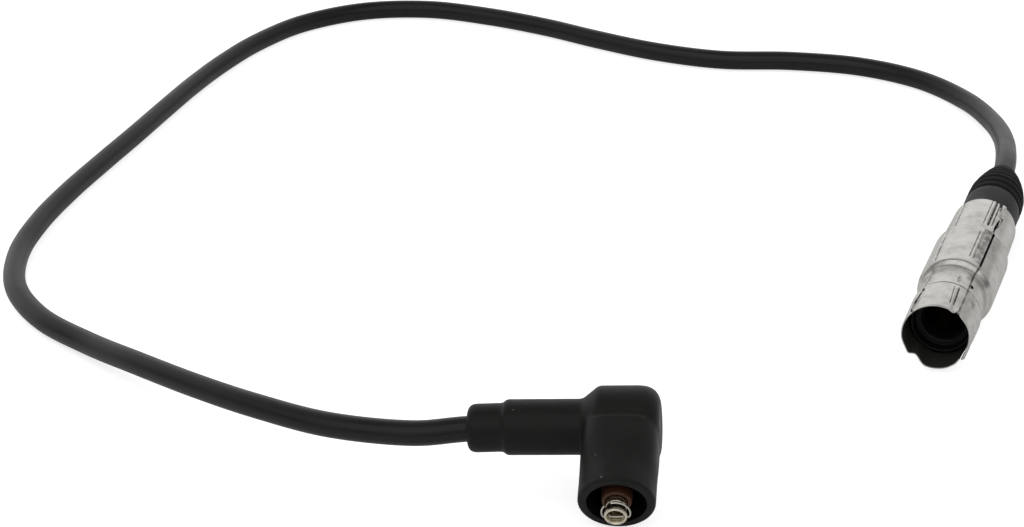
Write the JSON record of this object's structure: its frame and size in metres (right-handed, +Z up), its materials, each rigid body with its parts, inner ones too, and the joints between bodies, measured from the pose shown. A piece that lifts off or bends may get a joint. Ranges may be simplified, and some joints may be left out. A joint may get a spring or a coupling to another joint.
{
  "type": "spark_plug_wire",
  "caption": "Black ignition cable with a right-angled rubber connector on one end and a straight sheet metal plug connector with a ribbed rubber boot on the other",
  "frame": {"origin": "On the floor plane, under the middle of the box around the two connectors, the cable left out.", "axes": "+Y runs along the plug connector, away from its open mouth; +Z is up; +X is to the right of +Y, seen from above."},
  "size_m": [0.3251, 0.387, 0.0287],
  "materials": {
    "shield_metal": "bright plated sheet steel, clouded and handled",
    "boot_rubber": "black moulded rubber, semi-matt, a little dusty",
    "cable_sheath": "smooth black cable sheath, satin",
    "black_resin": "black moulded resin",
    "brown_resin": "dark brown moulded resin",
    "contact_brass": "turned brass",
    "cap_metal": "nickel plated, slightly yellowed",
    "spring_wire": "bright drawn spring wire",
    "resistor_ceramic": "unglazed ceramic"
  },
  "bodies": {
    "root": {"plug_shield": "shield_metal", "plug_seal": "boot_rubber", "plug_insulator": "black_resin", "plug_contact": "contact_brass", "plug_contact_clip": "spring_wire", "plug_resistor_front_cap": "cap_metal", "plug_resistor_core": "resistor_ceramic", "plug_resistor_rear_cap": "cap_metal", "plug_spring": "spring_wire", "plug_cable_screw": "contact_brass", "plug_boot": "boot_rubber", "elbow_boot": "boot_rubber", "elbow_insulator": "brown_resin", "contact_sleeve": "cap_metal", "contact_clip": "spring_wire", "elbow_resistor_front_cap": "cap_metal", "elbow_resistor_core": "resistor_ceramic", "elbow_resistor_rear_cap": "cap_metal", "elbow_spring": "spring_wire", "elbow_cable_screw": "contact_brass", "cable": "cable_sheath"}
  },
  "joints": []
}
